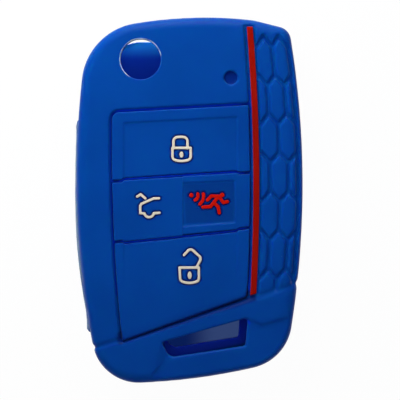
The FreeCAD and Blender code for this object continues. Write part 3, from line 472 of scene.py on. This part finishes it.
# The blue carries painted shade, painted shadow, painted highlights and boxes of painted light and shade.
BLUE = Silicone("blue_silicone", Slot.BLUE, srgb(1, 72, 157), srgb(0, 67, 150), srgb(90, 130, 190),
                0.42, 0.5, 0.1, mm(0.1, 0.2, 0.5), painted_hollow_shade=srgb(0, 52, 160),
                inlay_shadow_colour=srgb(0, 34, 120), sheen=0.05, painted_rim_highlights=(RELEASE_RIM_HIGHLIGHT, LIP_RIM_HIGHLIGHT),
                patches=(PANEL_GROOVE_PAINTED_LIGHT_AND_SHADE, DIVIDER_GROOVE_PAINTED_LIGHT, BAND_GROOVE_PAINTED_SHADE, SLOT_WALL_PAINTED_LIGHT, PANIC_FLOOR_PAINTED_SHADE, LAMP_DIMPLE_PAINTED_SHADE,
                         HOLLOW_FLOOR_PAINTED_SHADE, HOLLOW_PAINTED_LIGHT))
WHITE = Silicone("white_silicone", Slot.WHITE, srgb(224, 214, 195), srgb(214, 204, 187),
                 srgb(175, 175, 177), 0.5, 0.6, 0.2, mm(0.15, 0.15, 0.15))
STRIPE_RED = Silicone("red_silicone", Slot.RED, srgb(158, 20, 10), srgb(147, 17, 9),
                      srgb(190, 95, 85), 0.42, 0.5, 0.02, mm(0.25, 0.08, 0.05))
ICON_RED = Silicone("red_icon_silicone", Slot.RED, srgb(204, 26, 12), srgb(192, 22, 10),
                    srgb(210, 110, 95), 0.42, 0.5, 0.02, mm(0.1, 0.05, 0.05))
FINISHES = (BLUE, WHITE, STRIPE_RED, ICON_RED)

Nodes = dict[str, Piece]
Materials = dict[Silicone, bpy.types.Material]


@dataclass(frozen=True)
class Moulding:
    """How finely a piece's mesh follows its form, in millimetres, and how far its edges are softened."""

    cell: float
    passes: int
    triangles: int


SLEEVE_MOULDING = Moulding(0.2, 6, 185000)
PAD_MOULDING = Moulding(0.12, 22, 60000)
STRIPE_MOULDING = Moulding(0.1, 5, 24000)
ICON_MOULDING = Moulding(0.06, 6, 12000)


def apply_modifier(piece: Piece, kind: str, **settings: object) -> None:
    """Add a modifier to a piece and apply it.

    Args:
        piece: the object.
        kind: the modifier's type.
        settings: the modifier's settings.
    """
    modifier = piece.modifiers.new(kind.lower(), kind)
    for name, value in settings.items():
        setattr(modifier, name, value)
    bpy.ops.object.modifier_apply(modifier=modifier.name)


def smooth(piece: Piece, passes: int, group: str = "") -> None:
    """Smooth a piece's skin.

    Args:
        piece: the object.
        passes: how often each place moves half way to the middle of its neighbours.
        group: the vertex group that says how far each place takes part, or none for all.
    """
    apply_modifier(piece, "SMOOTH", factor=0.5, iterations=passes, vertex_group=group)


def read_rows(piece: Piece, kind: str = "co") -> numpy.ndarray:
    """Read what every vertex of a piece has.

    Args:
        piece: the object.
        kind: the vertices' places, or normal for the way they face.

    Returns:
        One row of three numbers for each vertex.
    """
    rows = numpy.empty(3 * len(piece.data.vertices), dtype=numpy.float32)
    piece.data.vertices.foreach_get(kind, rows)
    return rows.reshape(-1, 3)


def write_places(piece: Piece, places: numpy.ndarray) -> None:
    """Move every vertex of a piece to its row's place."""
    piece.data.vertices.foreach_set("co", places.ravel())
    piece.data.update()


class Side(Enum):
    """The side of a pad, by the sign of its direction along X."""

    LEFT = -1
    RIGHT = 1


@dataclass(frozen=True)
class ButtJoint:
    """A straight seam where two pads meet with sharp edges, in millimetres."""

    side: Side
    run_on: float = 1.2
    tuck: float = 0.03

    def lengthen(self, piece: Piece) -> float:
        """Draw the pad's end out past the seam.

        Args:
            piece: the pad, in millimetres.

        Returns:
            The seam's place along X.
        """
        sign = self.side.value
        seam = max(sign * vertex.co.x for vertex in piece.data.vertices)
        for vertex in piece.data.vertices:
            if sign * vertex.co.x > seam - self.tuck:
                vertex.co.x += sign * self.run_on
        return sign * (seam + self.tuck)

    def trim(self, seam: float) -> None:
        """Cut the active pad off at the seam and close the cut.

        Args:
            seam: the cut's place along X.
        """
        bpy.ops.object.mode_set(mode="EDIT")
        bpy.ops.mesh.select_all(action="SELECT")
        bpy.ops.mesh.bisect(plane_co=(seam, 0.0, 0.0), plane_no=(self.side.value, 0.0, 0.0), use_fill=True,
                            clear_outer=True)
        bpy.ops.mesh.select_all(action="SELECT")
        bpy.ops.mesh.quads_convert_to_tris()
        bpy.ops.object.mode_set(mode="OBJECT")


@dataclass(frozen=True)
class SoftLine:
    """A line along which the moulded skin is rounder than elsewhere, in millimetres."""

    points: tuple[Pair, ...]
    reach: float
    passes: int
    lowest: float = -1.0
    levels: int = 8
    full_share: float = 0.5

    def nearness(self, places: numpy.ndarray) -> numpy.ndarray:
        """How near each place is to the line, from one on it to zero at its reach.

        Args:
            places: one row for each place.

        Returns:
            One share for each place.
        """
        nearest = numpy.full(len(places), self.reach)
        for start, end in zip(numpy.array(self.points[:-1]), numpy.array(self.points[1:])):
            along = end - start
            offset = places[:, :2] - start
            share = numpy.clip(offset @ along / (along @ along), 0.0, 1.0)
            nearest = numpy.minimum(nearest, numpy.linalg.norm(offset - share[:, None] * along, axis=1))
        nearest[places[:, 2] < self.lowest] = self.reach
        return 1 - nearest / self.reach

    def soften(self, piece: Piece) -> None:
        """Smooth a piece's skin near the line.

        Args:
            piece: the object, in millimetres.
        """
        strength = numpy.clip(self.nearness(read_rows(piece)) / self.full_share, 0.0, 1.0)
        level = numpy.ceil(strength * self.levels)
        group = piece.vertex_groups.new(name="soft_line")
        for step in range(1, self.levels + 1):
            group.add(numpy.flatnonzero(level == step).tolist(), step / self.levels, "REPLACE")
        smooth(piece, self.passes, group.name)
        piece.vertex_groups.clear()


@dataclass(frozen=True)
class Chamfer:
    """A slope in the skin that falls away from a line and runs on level past its reach, in millimetres."""

    start: Pair
    end: Pair
    reach: float
    depth: float
    height: float = 18.6
    lowest: float = 17.0
    level_to: float = 1.5

    def plane(self, piece: Piece) -> None:
        """Take the skin down to the slope, on the left of the line as seen from its start.

        Args:
            piece: the object, in millimetres.
        """
        places = read_rows(piece)
        along = numpy.array(self.end) - numpy.array(self.start)
        length = numpy.linalg.norm(along)
        along = along / length
        offset = places[:, :2] - numpy.array(self.start)
        run = offset @ along / length
        aside = (offset @ numpy.array((-along[1], along[0]))) / self.reach
        beside = (aside > 0) & (aside < self.level_to) & (run > 0) & (run < 1)
        sloped = beside & (places[:, 2] > self.lowest)
        slope = self.height - self.depth * numpy.clip(aside, 0, 1)
        places[:, 2] = numpy.where(sloped, numpy.minimum(places[:, 2], slope), places[:, 2])
        write_places(piece, places)


@dataclass(frozen=True)
class Flash:
    """A thin uneven fin that the mould left along a curved edge, in millimetres."""

    centre: Pair
    radius: float
    height: float
    half_height: float
    stops: tuple[Pair, ...]
    depth: float = 0.9
    blend: float = 0.4

    def draw_out(self, piece: Piece) -> None:
        """Pull the skin outwards along the edge, by the width that the stops give for each place along Y.

        Args:
            piece: the object, in millimetres.
        """
        places = read_rows(piece)
        spoke = places[:, :2] - numpy.array(self.centre)
        reach = numpy.linalg.norm(spoke, axis=1)
        rows, widths = zip(*self.stops)
        width = numpy.interp(places[:, 1], rows, widths)
        level = numpy.clip(1 - ((places[:, 2] - self.height) / self.half_height) ** 2, 0.0, 1.0)
        skin = numpy.clip((reach - self.radius + self.depth) / self.blend, 0.0, 1.0)
        near = (spoke[:, 0] < 0) & (reach < self.radius + self.depth)
        places[:, :2] += spoke * (near * width * level * skin / reach)[:, None]
        write_places(piece, places)


@dataclass(frozen=True)
class HollowMark:
    """Marks how deep each place lies in a hollow of the skin, in millimetres, for the painted shade in
    hollows to read.
    """

    passes: int = 24

    def mark(self, piece: Piece) -> None:
        """Compare a piece with a much smoother copy of it and keep the difference.

        Args:
            piece: the object, in millimetres.
        """
        before = read_rows(piece)
        normals = read_rows(piece, "normal")
        smooth(piece, self.passes)
        depth = ((read_rows(piece) - before) * normals).sum(axis=1)
        piece.data.attributes.new(HOLLOW, "FLOAT", "POINT").data.foreach_set("value", depth)
        write_places(piece, before)


@dataclass(frozen=True)
class InlayShadowMark:
    """Marks the skin close round an inlay, for the painted shadow round it to read."""

    near: float = 0.2 * MM
    far: float = 0.6 * MM

    def mark(self, skin: Piece, inlays: list[Piece]) -> None:
        """Keep how close each place of a skin lies to its inlays.

        Args:
            skin: the pad that holds the inlays.
            inlays: the inlays' pieces.
        """
        places = [vertex.co for inlay in inlays for vertex in inlay.data.vertices]
        tree = kdtree.KDTree(len(places))
        for index, place in enumerate(places):
            tree.insert(place, index)
        tree.balance()
        gaps = numpy.array([tree.find(vertex.co)[2] for vertex in skin.data.vertices])
        closeness = numpy.clip((self.far - gaps) / (self.far - self.near), 0.0, 1.0)
        skin.data.attributes.new(INLAY_SHADOW, "FLOAT", "POINT").data.foreach_set("value", closeness)


def mould(node: Piece, name: str, moulding: Moulding, joint: ButtJoint | None = None,
          soft_lines: tuple[SoftLine, ...] = (), chamfers: tuple[Chamfer, ...] = (),
          flashes: tuple[Flash, ...] = ()) -> Piece:
    """Cast a soft-edged copy of a solid. The work is done in millimetres.

    Args:
        node: the solid's object.
        name: the new piece's name.
        moulding: the fineness and the softness.
        joint: the end that stays sharp, if there is one.
        soft_lines: where the skin is rounder.
        chamfers: where it falls away in a slope.
        flashes: where the mould left a fin.

    Returns:
        The new piece, in the same place.
    """
    piece = bpy.data.objects.new(name, node.data.copy())
    piece.data.name = name
    bpy.context.scene.collection.objects.link(piece)
    bpy.ops.object.select_all(action="DESELECT")
    piece.select_set(True)
    bpy.context.view_layer.objects.active = piece
    piece.data.transform(Matrix.Scale(1 / MM, 4))
    bpy.ops.object.mode_set(mode="EDIT")
    bpy.ops.mesh.select_all(action="SELECT")
    bpy.ops.mesh.remove_doubles(threshold=WELD_GAP)
    bpy.ops.object.mode_set(mode="OBJECT")
    seam = joint.lengthen(piece) if joint else 0.0
    apply_modifier(piece, "REMESH", mode="VOXEL", voxel_size=moulding.cell)
    smooth(piece, moulding.passes)
    for chamfer in chamfers:
        chamfer.plane(piece)
    for line in soft_lines:
        line.soften(piece)
    for flash in flashes:
        flash.draw_out(piece)
    share = moulding.triangles / (2 * len(piece.data.polygons))
    if share < 1:
        apply_modifier(piece, "DECIMATE", ratio=share, use_collapse_triangulate=True)
    if joint:
        joint.trim(seam)
    # measure the hollows for the painted shade
    HollowMark().mark(piece)
    bpy.ops.object.shade_smooth_by_angle(angle=SHARP_ANGLE)
    apply_modifier(piece, "WEIGHTED_NORMAL", mode="FACE_AREA", weight=50, keep_sharp=True)
    piece.data.transform(Matrix.Scale(MM, 4))
    piece.data.update()
    return piece


class SubAssembly:
    """Pieces that are cast from the frame's solids and move with one body."""

    body: str

    def dress(self, piece: Piece, finish: Silicone, materials: Materials, solid: str) -> None:
        """Give a piece its finish and its body, and hide the solid that it stands for.

        Args:
            piece: the object.
            finish: its finish.
            materials: each finish's material.
            solid: the solid that it stands for.
        """
        piece.data.materials.clear()
        piece.data.materials.append(materials[finish])
        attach(piece, self.body)
        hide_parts(solid)


BAND_ENDS = ((-26.0, -32.9), (26.0, -16.52))
BAND_LINE = SoftLine(BAND_ENDS, 2.4, 30)
FOOT_LINE = SoftLine(BAND_ENDS, 2.8, 100, 17.4)
SCOOP_LINE = SoftLine(((-7.6, -40.0), (-7.58, -36.37), (-4.4, -32.4)), 2.4, 10, 15.0)
CAP_LINE = SoftLine(((12.4, -24.8), (15.32, -26.1), (20.32, -24.6), (26.0, -24.6)), 2.4, 30, 15.0)
SLOT_LINE = SoftLine(((11.92, -30.57), (12.32, -24.72), (-5.68, -29.82), (-4.38, -32.37), (-3.18, -32.87),
                      (11.92, -30.57)), 2.0, 24, 15.5)
GRIP_LINE = SoftLine(((18.9, 38.0), (18.9, -17.0)), 9.6, 22, 14.0)
PANEL_LINE = SoftLine(((-16.1, 18.3), (13.1, 20.2), (13.5, 0.0), (13.1, -20.6), (-14.3, -29.3),
                       (-15.5, -12.0), (-16.35, 6.0), (-16.1, 18.3)), 1.6, 16, 16.5)
LAMP_LINE = SoftLine(((8.8, 25.6), (8.85, 25.65)), 4.4, 12, 16.9)
CREASE = Chamfer((-5.9, -29.6), (-7.9, -38.6), 1.7, 0.5)
LIP_FLASH = Flash((164.53, 5.04), 188.6, 13.0, 0.6, (
    (-28.4, 0.0), (-28.0, 0.35), (-27.3, 0.6), (-25.6, 0.35), (-24.0, 0.2), (-15.0, 0.45), (-8.5, 0.5),
    (-2.0, 0.4), (4.0, 0.3), (13.5, 0.3), (15.0, 0.35), (15.8, 0.55), (16.8, 0.5), (17.2, 0.3),
    (17.6, 0.0)))


@dataclass
class Sleeve(SubAssembly):
    """The blue wall round the hollow, with the stripe set into it."""

    soft_lines: tuple[SoftLine, ...] = (BAND_LINE, SCOOP_LINE, CAP_LINE, SLOT_LINE, GRIP_LINE, PANEL_LINE,
                                        LAMP_LINE)
    chamfers: tuple[Chamfer, ...] = (CREASE,)
    flashes: tuple[Flash, ...] = (LIP_FLASH,)
    moulding: Moulding = SLEEVE_MOULDING
    stripe_moulding: Moulding = STRIPE_MOULDING
    body: str = "sleeve"

    def build(self, nodes: Nodes, materials: Materials) -> list[Piece]:
        """Make the sleeve and its stripe.

        Args:
            nodes: the solids, by name.
            materials: each finish's material.

        Returns:
            The new pieces.
        """
        skin = mould(nodes["sleeve"], "sleeve_skin", self.moulding, soft_lines=self.soft_lines,
                     chamfers=self.chamfers, flashes=self.flashes)
        self.dress(skin, BLUE, materials, "sleeve")
        stripe = mould(nodes["accent_stripe"], "accent_stripe_bead", self.stripe_moulding)
        self.dress(stripe, STRIPE_RED, materials, "accent_stripe")
        return [skin, stripe]


@dataclass
class ButtonPad(SubAssembly):
    """A patch of the front wall that a thumb pushes in, with the icon set into it."""

    button: str
    icon_finish: Silicone
    icon_parts: tuple[str, ...]
    joint: ButtJoint | None = None
    soft_lines: tuple[SoftLine, ...] = ()
    moulding: Moulding = PAD_MOULDING
    icon_moulding: Moulding = ICON_MOULDING

    @property
    def body(self) -> str:
        """The body that the pad and its icon move with."""
        return f"{self.button}_button"

    def build(self, nodes: Nodes, materials: Materials) -> list[Piece]:
        """Make the pad and its icon's pieces.

        Args:
            nodes: the solids, by name.
            materials: each finish's material.

        Returns:
            The new pieces.
        """
        solid = f"{self.button}_button_pad"
        skin = mould(nodes[solid], f"{solid}_skin", self.moulding, self.joint, self.soft_lines)
        self.dress(skin, BLUE, materials, solid)
        inlays = []
        for part in self.icon_parts:
            solid = f"{self.button}_icon_{part}"
            inlay = mould(nodes[solid], f"{solid}_bead", self.icon_moulding)
            self.dress(inlay, self.icon_finish, materials, solid)
            inlays.append(inlay)
        # mark the skin round the inlays for their painted shadow
        InlayShadowMark().mark(skin, inlays)
        return [skin, *inlays]


BUTTON_PADS = (
    ButtonPad("lock", WHITE, ("padlock", "keyhole")),
    ButtonPad("trunk", WHITE, ("lid", "car"), ButtJoint(Side.RIGHT)),
    ButtonPad("panic", ICON_RED, ("dot", "inner_wave", "outer_wave", "runner"), ButtJoint(Side.LEFT)),
    ButtonPad("unlock", WHITE, ("padlock", "keyhole"), soft_lines=(FOOT_LINE,)),
)


@dataclass(frozen=True)
class SoftBox:
    """A square lamp that points at the cover, and that may leave out its glints or all but its glints."""

    name: str
    place: Point
    width: float
    power: float
    glints: bool = True
    fills: bool = True
    colour: Point = (1.0, 1.0, 1.0)

    def build(self) -> None:
        """Hang the lamp."""
        lamp = bpy.data.lights.new(self.name, "AREA")
        lamp.shape = "SQUARE"
        lamp.size = self.width
        lamp.energy = self.power
        lamp.color = self.colour
        holder = bpy.data.objects.new(self.name, lamp)
        bpy.context.scene.collection.objects.link(holder)
        holder.location = self.place
        holder.visible_camera = False
        holder.visible_glossy = self.glints
        holder.visible_diffuse = self.fills
        holder.rotation_euler = Vector(self.place).to_track_quat("Z", "Y").to_euler()


@dataclass
class Studio:
    """The white table, with a painted shadow under the key ring slot, with the lamps and the camera
    straight above.
    """

    table_half: float = 1.5
    table_white: Colour = (0.86, 0.86, 0.86, 1.0)
    shadow_share: float = 0.03
    # Painted shadow on the table under the key ring slot: a dark blue patch, darker on the left, that
    # glows its own colour for every ray.
    painted_shadow_place: Point = mm(3.5, -28.9, 0.0)
    painted_shadow_reach: Point = (13.5 * MM, 6.0 * MM, 1.0)
    painted_shadow_left: Colour = srgb(8, 28, 84)
    painted_shadow_right: Colour = srgb(47, 65, 111)
    painted_shadow_change: Pair = (-0.35, 0.2)
    painted_shadow_fade: Pair = (0.9, 1.0)
    sky_strength: float = 0.25
    sky_colour: Colour = (0.6, 0.75, 1.0, 1.0)
    camera_place: Point = mm(2.37, 0.03, 268.6)
    frame_width: float = 86.8 * MM
    frame_distance: float = 259.3 * MM
    sensor: float = 36.0
    lamps: tuple[SoftBox, ...] = (
        SoftBox("key_lamp", (-0.045, 0.105, 0.088), 0.165, 0.3, glints=False),
        SoftBox("top_lamp", (0.0, 0.01, 0.32), 0.08, 0.17, glints=False),
        SoftBox("rim_lamp", (-0.02, 0.26, 0.12), 0.16, 0.42, fills=False, colour=(1.0, 0.92, 0.68)),
    )

    def white_for_the_eye(self, graph: Graph) -> Socket:
        """A share that is one where the camera, a gloss or a clear piece looks at the table.

        Args:
            graph: the nodes that it is made in.

        Returns:
            The share's socket.
        """
        path = graph.add("ShaderNodeLightPath")
        seen = graph.math("MAXIMUM", path.outputs["Is Camera Ray"], path.outputs["Is Glossy Ray"])
        return graph.math("MAXIMUM", seen, path.outputs["Is Transmission Ray"])

    def build_table(self) -> None:
        """Make the table, white to the eye but for a faint shadow and a painted shadow under the key ring
        slot.
        """
        bpy.ops.object.select_all(action="DESELECT")
        bpy.ops.mesh.primitive_plane_add(size=2 * self.table_half)
        table = bpy.context.object
        table.name = "table"
        graph = Graph("white_table")
        board = graph.add("ShaderNodeBsdfDiffuse", {"Color": self.table_white})
        coords = graph.add("ShaderNodeTexCoord").outputs["Object"]
        local = graph.add("ShaderNodeMapping", {
            "Vector": coords, "Location": self.painted_shadow_place, "Scale": self.painted_shadow_reach}, vector_type="TEXTURE")
        length = graph.add("ShaderNodeVectorMath", {0: local.outputs[0]}, operation="LENGTH")
        reach = length.outputs["Value"]
        across = graph.add("ShaderNodeSeparateXYZ", {"Vector": local.outputs[0]}).outputs[0]
        # painted shadow under the slot, darker on the left, shown for every ray
        painted_shadow = graph.mix(graph.spread(across, *self.painted_shadow_change, 0.0, 1.0), self.painted_shadow_left, self.painted_shadow_right)
        below = graph.spread(reach, *self.painted_shadow_fade, 1.0, 0.0)
        paint = graph.mix(below, PURE_WHITE, painted_shadow)
        glow = graph.add("ShaderNodeEmission", {"Color": paint, "Strength": 1.0})
        glare = graph.spread(reach, *self.painted_shadow_fade, 1.0, 1 - self.shadow_share)
        seen = graph.product(self.white_for_the_eye(graph), glare)
        share = graph.math("MAXIMUM", seen, below)
        blend = graph.add("ShaderNodeMixShader", {0: share, 1: board.outputs[0], 2: glow.outputs[0]})
        table.data.materials.append(graph.finish(blend))

    def build_sky(self) -> None:
        """Make an even sky, white to the eye."""
        world = bpy.data.worlds.new("sky")
        bpy.context.scene.world = world
        world.use_nodes = True
        tree = world.node_tree
        light = tree.nodes["Background"]
        light.inputs["Strength"].default_value = self.sky_strength
        light.inputs["Color"].default_value = self.sky_colour
        white = tree.nodes.new("ShaderNodeBackground")
        white.inputs["Color"].default_value = PURE_WHITE
        path = tree.nodes.new("ShaderNodeLightPath")
        blend = tree.nodes.new("ShaderNodeMixShader")
        tree.links.new(path.outputs["Is Camera Ray"], blend.inputs[0])
        tree.links.new(light.outputs[0], blend.inputs[1])
        tree.links.new(white.outputs[0], blend.inputs[2])
        tree.links.new(blend.outputs[0], tree.nodes["World Output"].inputs["Surface"])

    def build_camera(self) -> None:
        """Hang the camera above the cover, looking straight down."""
        lens = bpy.data.cameras.new("camera")
        lens.sensor_width = self.sensor
        lens.lens = self.sensor * self.frame_distance / self.frame_width
        camera = bpy.data.objects.new("camera", lens)
        camera.location = self.camera_place
        bpy.context.scene.collection.objects.link(camera)
        bpy.context.scene.camera = camera

    def build(self) -> None:
        """Set up the table, sky, lamps and camera."""
        self.build_table()
        self.build_sky()
        for lamp in self.lamps:
            lamp.build()
        self.build_camera()
        bpy.context.scene.view_settings.view_transform = "Standard"


def main() -> None:
    """Build the cover and the studio round it."""
    logging.basicConfig(level=logging.INFO, format="%(message)s")
    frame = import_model()
    materials = {finish: finish.make() for finish in FINISHES}
    for assembly in (Sleeve(), *BUTTON_PADS):
        for piece in assembly.build(frame["nodes"], materials):
            log.info("%s: %d faces on %s", piece.name, len(piece.data.polygons), assembly.body)
    Studio().build()
    bpy.context.view_layer.update()


if __name__ == "__main__":
    main()
